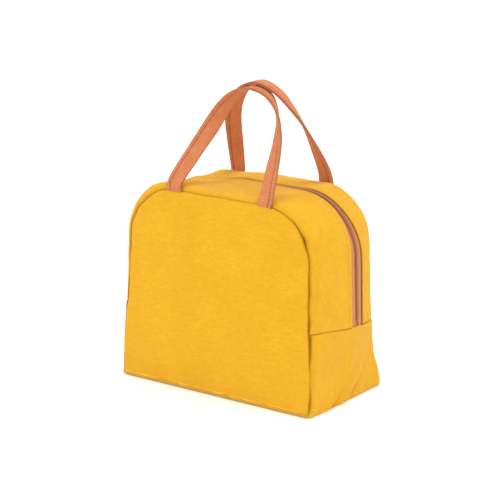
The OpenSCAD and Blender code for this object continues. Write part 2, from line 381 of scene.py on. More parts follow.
# soft folds as ridges along a line: from, to, width and height, all in millimetres
folds = [
    ((124, -56, -8), (125, 0, 24), 3.0, 3.2),
    ((125, -12, 12), (126, 12, 56), 3.4, 2.3),
    ((124, -38, -8), (126, 9, 33), 2.6, -3.2),
    ((124, -22, -8), (126, 24, 32), 3.2, 2.3),
    ((125, 18, 16), (125, 31, 48), 3.4, 1.5),
    ((124, 2, -4), (125, 35, 36), 3.6, -2.0),
    ((125, 35, 26), (123, 43, 66), 2.8, 1.5),
    ((125, 43, 30), (123, 49, 70), 3.2, -1.5),
    ((126, -62, 86), (127, -36, 92), 3.2, -1.1),
    ((128, -52, 120), (128, -20, 96), 6.0, -1.3),
    ((128, -50, 176), (129, -24, 150), 7.0, -1.4),
    ((114, -52, 186), (118, -22, 176), 5.0, -1.2),
    ((127, 26, 110), (125, 56, 150), 6.0, -1.6),
    ((126, 22, 150), (121, 54, 178), 5.0, -1.4),
    ((18, -20, 218), (46, -2, 219), 3.4, 1.3),
    ((8, -34, 217), (40, -10, 219), 4.0, -1.2),
    ((-52, -50, 213), (-40, -24, 217), 3.5, -1.0),
    ((62, -48, 212), (72, -18, 213), 4.0, -1.1),
    ((84, -46, 206), (92, -14, 207), 4.5, 1.2),
    ((-28, -60, 207), (-34, -61, 190), 3.0, -0.9),
    ((-72, -60, 204), (-82, -61, 178), 3.6, -0.8),
    ((48, -60, 206), (44, -61, 188), 3.0, -0.9),
    ((70, -60, 203), (84, -62, 176), 4.2, -0.9),
    ((-60, -69, 60), (20, -70, 74), 9.0, 0.9),
    ((-20, -66, 130), (50, -66, 118), 10.0, -0.8),
    ((-122, -40, 4), (-126, 4, 34), 4.0, -1.4),
    ((-126, 26, 118), (-124, 52, 154), 6.0, -1.3),
    ((-60, 60, 206), (-66, 62, 176), 4.0, -0.9),
    ((58, 60, 206), (66, 62, 174), 4.0, -0.9),
    ((-70, 69, 50), (10, 69, 66), 10.0, 0.9),
]
foldLines = [(Vector(a) * mm, Vector(b) * mm, width * mm, height * mm) for a, b, width, height in folds]


def pairs(items):
    return [(items[step], items[step + 1]) for step in range(len(items) - 1)]


def spread(start, end, count):
    return [start + (end - start) * step / count for step in range(count + 1)]


def hump(value, middle, width):
    return math.exp(-(((value - middle) / width) ** 2))


def ease(value, low, high):
    share = min(1.0, max(0.0, (value - low) / (high - low)))
    return share * share * (3 - 2 * share)


def halfWidth(z):
    return bag["footHalf"] + (bag["waistHalf"] - bag["footHalf"]) * ease(z, 20 * mm, bag["waistZ"])


def halfDepth(z):
    return bag["footHalfDepth"] + (topHalfDepth - bag["footHalfDepth"]) * min(z / topZ, 1.05)


def arcSpot(x, z, radius, degrees):
    turn = math.radians(degrees)
    return Vector((x + radius * math.cos(turn), z + radius * math.sin(turn)))


outlineSteps = {"top": 24, "corner": 60, "side": 70, "foot": 18, "base": 40}


def walkOutline():
    corner, foot = bag["topRadius"], bag["footRadius"]
    cornerX, cornerZ = bag["waistHalf"] - corner, topZ - corner
    footX = halfWidth(foot) - foot
    points = [Vector((x, topZ)) for x in spread(0, cornerX, outlineSteps["top"])]
    points += [arcSpot(cornerX, cornerZ, corner, turn) for turn in spread(90, 0, outlineSteps["corner"])[1:]]
    points += [Vector((halfWidth(z), z)) for z in spread(cornerZ, foot, outlineSteps["side"])[1:-1]]
    points += [arcSpot(footX, foot, foot, turn) for turn in spread(0, -90, outlineSteps["foot"])]
    points += [Vector((x, 0)) for x in spread(footX, 0, outlineSteps["base"])[1:]]
    lengths = [0.0]
    for first, second in pairs(points):
        lengths.append(lengths[-1] + (second - first).length)
    return points, lengths


outlinePoints, outlineLengths = walkOutline()
halfWay = outlineLengths[-1]


def wrapped(travel):
    return (travel + halfWay) % (2 * halfWay) - halfWay


def pointOn(travel):
    travel = wrapped(travel)
    reach = abs(travel)
    low, high = 0, len(outlineLengths) - 1
    while high - low > 1:
        middle = (low + high) // 2
        if outlineLengths[middle] <= reach:
            low = middle
        else:
            high = middle
    share = (reach - outlineLengths[low]) / (outlineLengths[high] - outlineLengths[low])
    spot = outlinePoints[low].lerp(outlinePoints[high], share)
    return Vector((math.copysign(spot.x, travel), spot.y))


def normalOn(travel):
    along = pointOn(travel + mm) - pointOn(travel - mm)
    return Vector((-along.y, along.x)).normalized()


def travelAt(z):
    walked = zip(outlinePoints, outlineLengths)
    return min((abs(point.y - z), length) for point, length in walked if point.x > 100 * mm)[1]


bandTravel = travelAt(bandZ)
cornerTravel = travelAt(topZ - bag["topRadius"])
footTravel = travelAt(bag["footRadius"])


def bulgeAt(travel):
    travel = wrapped(travel)
    reach = abs(travel)
    crest = bag["rightCrest"] if travel > 0 else bag["leftCrest"]
    side = crest - halfWidth(max(pointOn(travel).y, bag["footRadius"]))
    out = bag["topBulge"] + (bag["cornerBulge"] - bag["topBulge"]) * ease(reach, 45 * mm, 105 * mm)
    out += (side - out) * ease(reach, 85 * mm, cornerTravel + 4 * mm)
    out += (bag["footBulge"] - out) * ease(reach, bandTravel - 4 * mm, footTravel + 6 * mm)
    return out * (1 - ease(reach, footTravel, footTravel + 20 * mm))


def atFoot(travel):
    reach = abs(wrapped(travel))
    return ease(reach, footTravel - 3 * mm, footTravel + 9 * mm)


def wobble(travel):
    spot = pointOn(travel)
    broad = noise.noise(Vector((spot.x, 0, spot.y)) * 26)
    fine = noise.noise(Vector((spot.x, 1, spot.y)) * 80)
    return (broad * 1.4 + fine * 0.8) * mm


def seamIn(travel):
    return (bag["seamIn"] + wobble(travel)) * (1 - atFoot(travel)) + bag["footSeam"] * atFoot(travel)


def seamBack(travel):
    return (bag["seamBack"] + wobble(travel) * 0.6) * (1 - atFoot(travel)) - bag["footRidge"] * atFoot(travel)


def seamRoll(distance):  # a sharp turn right at the seam and a soft one over it
    soft = max(0.0, 1 - distance / (9 * mm))
    return 0.72 * math.exp(-distance / (1.05 * mm)) + 0.28 * soft * soft


def seamPuff(travel, distance):  # the cloth swells beside the seam, most at the corners
    reach = abs(wrapped(travel))
    corner = ease(reach, 50 * mm, 90 * mm) * (1 - ease(reach, bandTravel - 60 * mm, bandTravel))
    high = (0.7 + 2.3 * corner * (1 if travel < 0 else 0.6)) * mm
    return high * hump(distance, 6 * mm, 4.5 * mm) * (1 - atFoot(travel))


def foldLift(spot):
    lift = 0.0
    for start, end, width, height in foldLines:
        along = end - start
        share = (spot - start).dot(along) / along.length_squared
        if -0.2 < share < 1.2:
            gap = (spot - start - along * min(1.0, max(0.0, share))).length
            if gap < 3 * width:
                ends = ease(share, -0.15, 0.3) * (1 - ease(share, 0.6, 1.15))
                lift += height * hump(gap, 0, width) * ends
    return lift


def rumple(spot, fromSeam):  # soft unevenness of the cloth, gathered along the seams
    broad = noise.noise(spot * 13) * 1.5 + noise.noise(spot * 29 + Vector((5, 1, 2))) * 0.75
    fine = noise.noise(spot * 70 + Vector((2, 7, 4))) * 0.32 + noise.noise(spot * 150) * 0.1
    gather = noise.noise(spot * 110 + Vector((1, 3, 9))) * 0.75 * math.exp(-fromSeam / (7 * mm))
    return ((broad + fine) * ease(fromSeam, 0, 26 * mm) + gather * ease(fromSeam, 0, 2 * mm)) * mm


def pinch(spot, out, y):  # how far the gusset lies further in at the back and on the sunken side
    share = ease(y, 5 * mm, 62 * mm)
    rise = bag["rearPinch"] * ease(spot.y, 5 * mm, 45 * mm)
    rise -= bag["shoulderOut"] * ease(spot.y, 160 * mm, 195 * mm)
    sunk = bag["slump"] * ease(-spot.x, 10 * mm, 65 * mm) * ease(out.y, 0.1, 0.6) * ease(y, -48 * mm, 4 * mm)
    sunk *= 1 - 0.3 * ease(y, 20 * mm, 56 * mm)
    return share * rise * ease(abs(out.x), 0.15, 0.75) + sunk


def zipLine(travel):  # the zip drifts back on its way down the right side
    return zipY + 4.2 * mm * ease(travel, 70 * mm, 180 * mm) + 3.6 * mm * ease(travel, 150 * mm, 240 * mm)


def gussetPoint(travel, y, lift=0.0):
    spot, out = pointOn(travel), normalOn(travel)
    depth, bulge, foot = halfDepth(spot.y), bulgeAt(travel), atFoot(travel)
    across = min(1.0, abs(y) / depth)
    fromSeam = max(0.0, depth - seamBack(travel) - abs(y))
    zipCalm = ease(abs(y - zipLine(travel)), 7 * mm, 24 * mm) if spot.y > bandZ - 20 * mm else 1.0
    place = Vector((spot.x + out.x * bulge, y, spot.y + out.y * bulge))
    rolled = seamRoll(fromSeam) * (1 - foot) + (1 - ease(fromSeam, 0, 5.5 * mm)) * foot
    rise = bulge * (1 - across**4) - seamIn(travel) * rolled + seamPuff(travel, fromSeam) + lift
    rise -= pinch(spot, out, y)
    rumpled = rumple(place, fromSeam) + foldLift(place) * ease(fromSeam, 0, 6 * mm)
    rise += rumpled * zipCalm * ease(spot.y, -mm, 5 * mm)
    pushed = 1.9 * mm * math.sin(math.pi * min(1.0, fromSeam / (4.6 * mm))) * foot
    return Vector((spot.x + out.x * rise, y + math.copysign(pushed, y), spot.y + out.y * rise))


panel = {
    "middle": Vector((0, 0.105)),
    "reach": 107.5 * mm,  # from its middle to its seam
    "crown": 2.4 * mm,  # how far its middle stands out
    "around": 380,
    "foamInset": 0.035,
    "foilInset": 0.05,
    "rings": 30,
    "flange": 7 * mm,  # the seam allowance, turned inwards
}


def panelPoint(side, travel, share, lift=0.0):
    out, edge = normalOn(travel), pointOn(travel)
    drawn = pinch(edge, out, halfDepth(edge.y)) if side > 0 else 0
    edge = edge - out * (seamIn(travel) + drawn)
    spot = panel["middle"] + (edge - panel["middle"]) * share
    nearSeam = (1 - share) * abs((edge - panel["middle"]).dot(out))
    fromSeam = (1 - share) * panel["reach"]
    place = Vector((spot.x, side * halfDepth(spot.y), spot.y))
    rise = halfDepth(spot.y) + lift + panel["crown"] * ease(fromSeam, 0, 70 * mm)
    rise -= seamBack(travel) * seamRoll(nearSeam)
    rise += rumple(place, fromSeam) * 0.8 + foldLift(place) * ease(fromSeam, 0, 6 * mm)
    return Vector((spot.x, side * rise, spot.y))


# building pieces


def keepPiece(name, mesh, slotName, finishName=None):
    data = bpy.data.meshes.new(name)
    mesh.to_mesh(data)
    mesh.free()
    piece = addObject(name, data)
    data.materials.append(finishes[finishName or slotName])
    data.polygons.foreach_set("use_smooth", [True] * len(data.polygons))
    return piece


def gridPiece(name, columns, rows, place, size, slotName, closed=False, marks=None):
    mesh = bmesh.new()
    if marks:
        darker, paler = mesh.verts.layers.float.new("creaseShade"), mesh.verts.layers.float.new("paleRidge")
    bmesh.ops.create_grid(mesh, x_segments=columns, y_segments=rows, size=1)
    layer = mesh.loops.layers.uv.new("weave")
    for face in mesh.faces:
        for loop in face.loops:
            loop[layer].uv = ((loop.vert.co.x / 2 + 0.5) * size[0], (loop.vert.co.y / 2 + 0.5) * size[1])
    for vert in mesh.verts:
        column = round((vert.co.x / 2 + 0.5) * columns)
        row = round((vert.co.y / 2 + 0.5) * rows)
        vert.co = place(column, row)
        vert.co.z = max(vert.co.z, 0.0)
        if marks:
            # painted shade in the seams and fold valleys, painted highlight on the fold ridges, and a paler
            # line along each panel's foot
            fold = foldLift(vert.co)
            seam, ridge = marks(column, row)
            vert[darker] = min(0.9, seam + max(0.0, -fold - 1.25 * mm) / (2.2 * mm))
            vert[paler] = min(0.8, ridge + max(0.0, fold - 1.1 * mm) / (1.8 * mm))
    if closed:
        bmesh.ops.remove_doubles(mesh, verts=mesh.verts, dist=0.01 * mm)
    mesh.normal_update()
    if sum(face.normal.dot(face.calc_center_median() - bagCore) for face in mesh.faces) < 0:
        bmesh.ops.reverse_faces(mesh, faces=mesh.faces)
    piece = keepPiece(name, mesh, slotName)
    wall = piece.modifiers.new("wall", "SOLIDIFY")
    wall.thickness = walls[slotName]
    wall.offset = -1
    return piece


def creaseShadeAt(fromSeam, travel):  # how dark the painted shade is where the cloth dips into a seam
    uneven = min(1.0, max(0.25, 0.75 + 1.5 * noise.noise(Vector((travel * 24, 3, 4)))))
    reach = abs(wrapped(travel))
    depth = 0.3 + 0.6 * ease(reach, cornerTravel - 50 * mm, cornerTravel - 20 * mm)
    return depth * uneven * hump(fromSeam, 0, 0.85 * mm) * (1 - 0.8 * atFoot(travel))


def paleRidgeAt(fromSeam, travel):  # how much paler the ridge along the foot is painted
    return 0.75 * hump(fromSeam, 0.8 * mm, 1.1 * mm) * atFoot(travel)


def layWeave(piece):
    layer = piece.data.uv_layers["weave"].data
    for loop in piece.data.loops:
        spot = piece.data.vertices[loop.vertex_index].co
        layer[loop.index].uv = (spot.x, spot.z)


def bendsWithLid(piece):
    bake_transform(piece)


def sideWord(side, half=0):
    return ("front" if side < 0 else "rear") + ("" if not half else "Left" if half < 0 else "Right")


def halfWord(half):
    return "left" if half < 0 else "right"


# the two panels: canvas, foam and foil, as rings that close in from the seam

# how far the canvas's rings lie from the seam, in millimetres
panelInsets = [0, 0.3, 0.7, 1.2, 1.8, 2.6, 3.6, 4.8, 6.4, 8.5, 11, 14]
panelInsets += [17 + 3.1 * step for step in range(29)] + [panel["reach"] / mm]


def makePanel(side):
    around, rings = panel["around"], panel["rings"]
    word = "front" if side < 0 else "back"

    def canvasPlace(column, row):
        travel = -halfWay + 2 * halfWay * column / around
        if row == 0:
            out = normalOn(travel) * 3 * mm
            return panelPoint(side, travel, 1.0) - Vector((out.x, side * panel["flange"], out.y))
        return panelPoint(side, travel, max(0.0, 1 - panelInsets[row - 1] * mm / panel["reach"]))

    def innerPlace(lift, inset):
        def place(column, row):
            travel = -halfWay + 2 * halfWay * column / (around // 2)
            return panelPoint(side, travel, (1 - inset) * (1 - row / rings), lift)
        return place

    def marks(column, row):
        # painted shade along the seam, and the paler ridge along the foot
        inset, travel = panelInsets[max(row - 1, 0)] * mm, -halfWay + 2 * halfWay * column / around
        return creaseShadeAt(inset, travel), paleRidgeAt(inset, travel)

    piece = gridPiece(word + "Panel", around, len(panelInsets), canvasPlace, (1, 1), "canvas", True, marks)
    layWeave(piece)
    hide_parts(word + "_panel")
    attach(piece, "bag")
    under = innerPlace(bag["foamLift"], panel["foamInset"])
    pad = gridPiece(word + "Foam", around // 2, rings, under, (1, 1), "foam", True)
    layWeave(pad)
    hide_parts(word + "_foam")
    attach(pad, "bag")
    inmost = innerPlace(bag["foilLift"], panel["foilInset"])
    film = gridPiece(word + "Lining", around // 2, rings, inmost, (1, 1), "foil", True)
    layWeave(film)
    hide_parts(word + "_lining")
    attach(film, "bag")


# the base band: one strip of canvas up the left side, under the base and up the right side

seamRows = [0, 0.3, 0.7, 1.2, 1.8, 2.6, 3.6, 5, 7, 9.5]  # rows beside a seam, in millimetres from it
middleFrom = 12.5 * mm  # where the even rows in the middle start

band = {
    "columns": 300,
    "middleRows": 60,
    "halfDepth": 66 * mm,
    "middleZ": 40 * mm,
    # how far its seam slopes on the right and on the left: front, rear
    "seamDrop": {1: (8 * mm, 5 * mm), -1: (3 * mm, 2 * mm)},
    "turnedIn": (1.6 * mm, 3.2 * mm),
    "innerColumns": 120,
    "innerRows": 30,
}


def bandEdge(half, y):
    front, rear = band["seamDrop"][half]
    return bandTravel - front * (1 - ease(y, -62 * mm, 8 * mm)) + rear * ease(y, 4 * mm, 52 * mm)


def acrossRows(depth):
    rows = [-1 + row * mm / depth for row in seamRows]
    middle = spread(-1 + middleFrom / depth, 1 - middleFrom / depth, band["middleRows"])
    return rows + middle + [-row for row in reversed(rows)]


def makeBand():
    columns, innerColumns, innerRows = band["columns"], band["innerColumns"], band["innerRows"]
    shares = acrossRows(band["halfDepth"])

    def place(column, row):
        share = shares[min(max(row - 1, 0), len(shares) - 1)]
        y = share * halfDepth(band["middleZ"])
        start, end = bandEdge(1, y), 2 * halfWay - bandEdge(-1, y)
        travel = start + (end - start) * (min(max(column - 2, 0), columns - 4) / (columns - 4))
        y = share * (halfDepth(pointOn(travel).y) - seamBack(travel))
        out = normalOn(travel)
        fromTop = min(travel - start, end - travel)
        lip = -1.0 * mm * math.exp(-fromTop / (1.1 * mm)) + 0.5 * mm * hump(fromTop, 3 * mm, 2.4 * mm)
        spot = gussetPoint(travel, y, lip)
        if column in (0, 1, columns - 1, columns):  # the hem, turned in at both ends
            last = column in (0, columns)
            back = Vector((-out.y, out.x)) * (4 * mm if last else 0.0) * (1 if column < 2 else -1)
            spot -= Vector((out.x, 0, out.y)) * band["turnedIn"][last] + Vector((back.x, 0, back.y))
        if row in (0, len(shares) + 1):
            spot -= Vector((out.x * 2.5, math.copysign(1.5, y), out.y * 2.5)) * mm
        return spot

    def innerPlace(lift, top):
        def place(column, row):
            start, end = bandTravel + top, 2 * halfWay - bandTravel - top
            travel = start + (end - start) * column / innerColumns
            share = -1 + 2 * row / innerRows
            return gussetPoint(travel, share * (halfDepth(pointOn(travel).y) - bag["innerTrim"]), lift)
        return place

    def marks(column, row):
        # painted shade along both seams
        share = shares[min(max(row - 1, 0), len(shares) - 1)]
        travel = bandTravel + 2 * (halfWay - bandTravel) * column / columns
        return creaseShadeAt((1 - abs(share)) * band["halfDepth"], travel), 0.0

    length = 2 * (halfWay - bandTravel)
    piece = gridPiece("baseBand", columns, len(shares) + 1, place, (length, 0.136), "canvas", marks=marks)
    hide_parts("base_band")
    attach(piece, "bag")
    length + 0.012
    under, inmost = innerPlace(bag["foamLift"], 7 * mm), innerPlace(bag["foilLift"], 4 * mm)
    pad = gridPiece("baseFoam", innerColumns, innerRows, under, (length, 0.12), "foam")
    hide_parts("base_foam")
    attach(pad, "bag")
    film = gridPiece("baseLining", innerColumns, innerRows, inmost, (length, 0.12), "foil")
    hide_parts("base_lining")
    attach(film, "bag")


# the gusset in front of and behind the zip: each strip is made in two halves that meet at the crest

zipper = {
    "sideSlot": (12.6 * mm, 12.6 * mm),  # from the zip's line to the canvas on the sides, in front and behind
    "topSlot": (6.4 * mm, 5.4 * mm),
    "sink": 1.9 * mm,  # how deep the tape lies where it is sewn on
    "pitch": 1.55 * mm,
    "coilGap": 0.9 * mm,  # from the zip's line to the middle of each coil
    "coilRise": 0.75 * mm,
    "tooth": (0.62 * mm, 2.05 * mm, 0.80 * mm),  # half sizes along, across and up
    # where the front canvas rolls over the zip: from, to, how far over and how high, in millimetres
    "rolls": [(-128, -16, 9.0, 1.2), (-42, 26, 3.0, 0.4), (2, 62, 1.8, 0.4)],
}


def rollAt(travel):
    over, high = 0.0, 0.0
    for start, end, far, lift in zipper["rolls"]:
        soft = (end - start) * 0.35 * mm
        share = ease(travel, start * mm, start * mm + soft) * (1 - ease(travel, end * mm - soft, end * mm))
        over += far * share * mm
        high += lift * share * mm
    return over, high


def slotEdge(side, travel):
    reach = abs(travel)
    top, sides = (zipper[key][0 if side < 0 else 1] for key in ("topSlot", "sideSlot"))
    half = top + (sides - top) * ease(reach, 100 * mm, 165 * mm)
    if side < 0:
        half -= rollAt(travel)[0]
    half += 0.35 * mm * noise.noise(Vector((travel * 40, side * 3.0, 0)))
    return zipLine(travel) + side * half


def slotLift(side, travel, fromEdge):
    puff = 0.5 * mm * hump(fromEdge, 2.2 * mm, 2.6 * mm)
    dent = -0.35 * mm * hump(fromEdge, gusset["stitchIn"], 0.8 * mm)
    over = rollAt(travel)[1] if side < 0 else 0.0
    return puff + dent + over * math.exp(-fromEdge / (9 * mm))


# the rolled hem along the zip, as distance from its edge and height, in millimetres
hemRows = [(5.5, -1.9), (0.5, -1.9), (0.05, -1.5), (-0.15, -0.95), (0, -0.4), (0.25, -0.1), (0.7, 0)]
hemRows += [(1.3, 0), (2.2, 0), (3.2, 0), (4.1, 0), (4.6, 0), (5, 0), (5.4, 0), (6, 0), (7.4, 0)]

gusset = {
    "columns": 190,
    "across": 22,
    "evenFrom": 9 * mm,  # from the hem's edge to the first even row
    "width": {-1: 0.055, 1: 0.039},  # front and rear
    "underBand": 2.4 * mm,  # how far each of the last two columns goes on under the band
    "innerFrom": 14.6 * mm,  # from the zip's line to the foam
    "innerColumns": 90,
    "innerRows": 14,
    "stitchIn": 5 * mm,
    "stitchPitch": 3.1 * mm,
}


def makeGusset(side, half):
    columns, across = gusset["columns"], gusset["across"]
    innerColumns, innerRows = gusset["innerColumns"], gusset["innerRows"]
    word = sideWord(side, half)
    seams = list(reversed(seamRows))

    def place(column, row):
        share = min(column, columns - 2) / (columns - 2)
        travel = half * bandTravel * share
        depth = halfDepth(pointOn(travel).y) - seamBack(travel)
        edge = slotEdge(side, travel)
        step = row - len(hemRows)
        if step < 0:
            back, lift = hemRows[row]
            y = edge + side * back * mm
            lift = lift * mm + slotLift(side, travel, max(back, 0) * mm)
        else:
            first = edge + side * gusset["evenFrom"]
            last = side * (depth - middleFrom)
            if step <= across:
                y = first + (last - first) * step / across
            else:
                y = side * (depth - seams[min(step - across - 1, len(seams) - 1)] * mm)
            lift = slotLift(side, travel, abs(y - edge))
        seam = bandEdge(half, y)
        travel = half * (seam - 0.4 * mm) * share
        lift -= 0.8 * mm * math.exp(-abs(abs(travel) - seam) / (1.6 * mm))
        spot = gussetPoint(travel, y, lift)
        if column > columns - 2:
            under = column - columns + 2
            spot = gussetPoint(half * (seam + under * gusset["underBand"]), y, lift - under * 1.1 * mm)
        if step == across + len(seams) + 1:
            out = normalOn(travel)
            spot -= Vector((out.x * 2.5, side * 1.5, out.y * 2.5)) * mm
        return spot

    def innerPlace(lift):
        def place(column, row):
            travel = half * (bandTravel - 0.5 * mm) * column / innerColumns
            first = zipLine(travel) + side * gusset["innerFrom"]
            last = side * (halfDepth(pointOn(travel).y) - bag["innerTrim"])
            return gussetPoint(travel, first + (last - first) * row / innerRows, lift)
        return place

    def marks(column, row):
        # painted shade along the seam and along the band's edge
        travel = half * bandTravel * column / columns
        step = row - len(hemRows) - across
        fromSeam = seams[min(step - 1, len(seams) - 1)] * mm if step > 0 else 1.0
        fromBand = max(0.0, 1 - column / (columns - 2)) * bandTravel
        return max(creaseShadeAt(fromSeam, travel), creaseShadeAt(fromBand * 1.3, travel)), 0.0

    width = gusset["width"][side]
    rows = len(hemRows) + across + len(seams) + 1
    size = (bandTravel, width)
    piece = gridPiece(word + "Gusset", columns, rows, place, size, "canvas", marks=marks)
    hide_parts(f"{sideWord(side)}_gusset_{halfWord(half)}", f"{sideWord(side)}_lid")
    bendsWithLid(piece)
    under, inmost = innerPlace(bag["foamLift"]), innerPlace(bag["foilLift"])
    pad = gridPiece(word + "GussetFoam", innerColumns, innerRows, under, size, "foam")
    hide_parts(f"{sideWord(side)}_foam_{halfWord(half)}", f"{sideWord(side)}_lid_foam")
    bendsWithLid(pad)
    film = gridPiece(word + "GussetLining", innerColumns, innerRows, inmost, size, "foil")
    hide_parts(f"{sideWord(side)}_lining_{halfWord(half)}", f"{sideWord(side)}_lid_lining")
    bendsWithLid(film)
    bandTravel + 0.006


# the zip: tapes, interlocking coil, end stops, slider and pull tab


def zipLevel(travel, y):
    return -zipper["sink"] + 0.5 * mm * (1 - ease(abs(y - zipLine(travel)), 1.5 * mm, 9 * mm))


# rows of the tape from the coil outwards, in millimetres
tapeRows = [0, 0.15, 0.6, 1.4, 2, 2.5, 3.1, 3.9, 5.5, 7.5, 10, 11.5, 13.2]
tapeCord = {1: 0.35 * mm, 2: 0.2 * mm}  # the thicker edge that carries the coil


def makeTape(side, half):
    columns = gusset["columns"]

    def place(column, row):
        travel = half * (bandTravel + 3 * mm) * column / columns
        y = zipLine(travel) + side * (zipper["coilGap"] + tapeRows[row] * mm)
        return gussetPoint(travel, y, zipLevel(travel, y) + tapeCord.get(row, 0) - 0.05 * mm)

    def marks(column, row):
        # a painted shadow line along the tape beside the coil
        return 0.8 * hump(tapeRows[row], 2.3, 0.8), 0.0

    word = sideWord(side, half)
    size = (bandTravel, tapeRows[-1] * mm)
    piece = gridPiece(word + "ZipTape", columns, len(tapeRows) - 1, place, size, "zip_tape", marks=marks)
    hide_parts(f"zip_tape_{sideWord(side)}_sides", f"zip_tape_{sideWord(side)}_lid")
    bendsWithLid(piece)
    bandTravel + 0.003


def addBead(mesh, spot, axes, size, pole):
    place = Matrix.Translation(spot) @ Matrix(axes).transposed().to_4x4() @ Matrix.Diagonal((*size, 1))
    place = place @ Matrix.Rotation(math.pi / 2, 4, pole)
    bmesh.ops.create_uvsphere(mesh, u_segments=6, v_segments=5, radius=1, matrix=place)


def makeCoil(side, half):
    mesh = bmesh.new()
    over = Vector((0, 1, 0))
    for step in range(int((bandTravel - 3 * mm) / zipper["pitch"])):
        travel = half * (step + (0.25 if side < 0 else 0.75)) * zipper["pitch"]
        y = zipLine(travel) + side * zipper["coilGap"]
        lift = zipLevel(travel, y) + zipper["coilRise"]
        spot = gussetPoint(travel, y, lift)
        along = (gussetPoint(travel + half * mm, y, lift) - spot).normalized()
        addBead(mesh, spot, (along, over, along.cross(over) * half), zipper["tooth"], "X")
    piece = keepPiece(sideWord(side, half) + "Coil", mesh, "zip_coil")
    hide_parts(f"zip_coil_{sideWord(side)}_sides", f"zip_coil_{sideWord(side)}_lid")
    bendsWithLid(piece)


def stitchRow(name, spots, slotName, threadName, length, thick):
    mesh = bmesh.new()
    size = (length / 2, thick / 2, thick / 2)
    for spot, along, up in spots:
        addBead(mesh, spot, (along, up.cross(along).normalized(), up), size, "Y")
    return keepPiece(name, mesh, slotName, threadName)


def makeGussetStitches(side, half):
    spots = []
    inset = side * gusset["stitchIn"]
    for step in range(int((bandTravel - 4 * mm) / gusset["stitchPitch"])):
        travel = half * (step + 0.5) * gusset["stitchPitch"]
        lift = slotLift(side, travel, gusset["stitchIn"]) + 0.05 * mm
        spot = gussetPoint(travel, slotEdge(side, travel) + inset, lift)
        further = travel + half * mm
        along = (gussetPoint(further, slotEdge(side, further) + inset, lift) - spot).normalized()
        out = normalOn(travel)
        up = Vector((out.x, 0, out.y))
        spots.append((spot, along, (up - along * up.dot(along)).normalized()))
    name = sideWord(side, half) + "TopStitch"
    piece = stitchRow(name, spots, "canvas", "yellowThread", 2.3 * mm, 0.62 * mm)
    bendsWithLid(piece)


def addBox(mesh, low, high, soften, cuts=3):
    place = Matrix.Translation((low + high) / 2) @ Matrix.Diagonal((*(high - low), 1))
    made = bmesh.ops.create_cube(mesh, size=1, matrix=place)
    edges = list({edge for vert in made["verts"] for edge in vert.link_edges})
    bmesh.ops.bevel(mesh, geom=edges, offset=soften, segments=cuts, profile=0.5, affect="EDGES", material=-1)


def softenEdges(piece, width):
    edges = piece.modifiers.new("edges", "BEVEL")
    edges.width = width
    edges.segments = 3
    edges.limit_method = "ANGLE"


stop = {"pastSeam": 2 * mm, "sink": 0.9 * mm, "half": (1.3 * mm, 2.7 * mm, 1.3 * mm), "edge": 0.55 * mm}


def makeStops():
    mesh = bmesh.new()
    reach = Vector(stop["half"])
    for half in (-1, 1):
        travel = half * (bandTravel + stop["pastSeam"])
        y = zipLine(travel)
        spot = gussetPoint(travel, y, zipLevel(travel, y) - stop["sink"])
        addBox(mesh, spot - reach, spot + reach, stop["edge"])
    piece = keepPiece("zipEndStops", mesh, "zip_metal")
    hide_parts("zip_end_stops")
    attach(piece, "bag")


slider = {
    "outerX": -128.2 * mm,  # underside of the outer plate, clear of the coil
    "plate": 0.9 * mm,
    # half of a plate from its narrow tail to its nose, as width and height in millimetres
    "outline": [(-4.2, 0), (-3.6, 0.5), (-3.3, 3.2), (-4.4, 6.4), (-4.4, 8.6), (-3.4, 9.8), (-1.4, 10)],
    "neck": (0.55 * mm, 6.6 * mm, 9.6 * mm),  # half width, and the heights it runs between
    "lugAt": 2.1 * mm,
    "lugHalf": (1.3 * mm, 0.55 * mm, 1.6 * mm),
    "pinRadius": 0.75 * mm,
    "pinLength": 4.4 * mm,
    "edge": 0.22 * mm,
}
tabPin = Vector(joints["pull_tab_lift"]["pos_m"])


def makeSlider():
    low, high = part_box("zip_slider")
    y = (low.y + high.y) / 2
    top, plate = slider["outerX"], slider["plate"]
    mesh = bmesh.new()
    ring = [(a * mm, b * mm) for a, b in slider["outline"]]
    ring += [(-a, b) for a, b in reversed(ring)]
    for x in (top, high.x - plate):
        face = mesh.faces.new([mesh.verts.new((x, y + a, low.z + b)) for a, b in ring])
        lifted = bmesh.ops.extrude_face_region(mesh, geom=[face])
        moved = [item for item in lifted["geom"] if isinstance(item, bmesh.types.BMVert)]
        bmesh.ops.translate(mesh, verts=moved, vec=(plate, 0, 0))
    wide, start, end = slider["neck"]
    addBox(mesh, Vector((top, y - wide, low.z + start)), Vector((high.x, y + wide, low.z + end)), 0.2 * mm, 2)
    deep, wide, tall = slider["lugHalf"]
    for middle in (y - slider["lugAt"], y + slider["lugAt"]):
        addBox(mesh, Vector((tabPin.x - deep, middle - wide, tabPin.z - tall)),
               Vector((top + 0.3 * mm, middle + wide, tabPin.z + tall)), 0.3 * mm)
    place = Matrix.Translation((tabPin.x, y, tabPin.z)) @ Matrix.Rotation(math.pi / 2, 4, "X")
    radius = slider["pinRadius"]
    bmesh.ops.create_cone(mesh, cap_ends=True, segments=20, radius1=radius, radius2=radius,
                          depth=slider["pinLength"], matrix=place)
    bmesh.ops.recalc_face_normals(mesh, faces=mesh.faces)
    piece = keepPiece("zipSlider", mesh, "zip_metal")
    softenEdges(piece, slider["edge"])
    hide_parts("zip_slider")
    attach(piece, "slider")


pullTab = {
    "thick": 0.9 * mm,
    "halfWidth": 2.9 * mm,
    "overPin": 1.6 * mm,
    "taper": 0.25,
    "holeHalf": 1.35 * mm,
    "holeOver": 1.4 * mm,
    "holeUnder": 1.7 * mm,
    "holeDrop": 0.6 * mm,
    "steps": 40,
    "edge": 0.25 * mm,
}


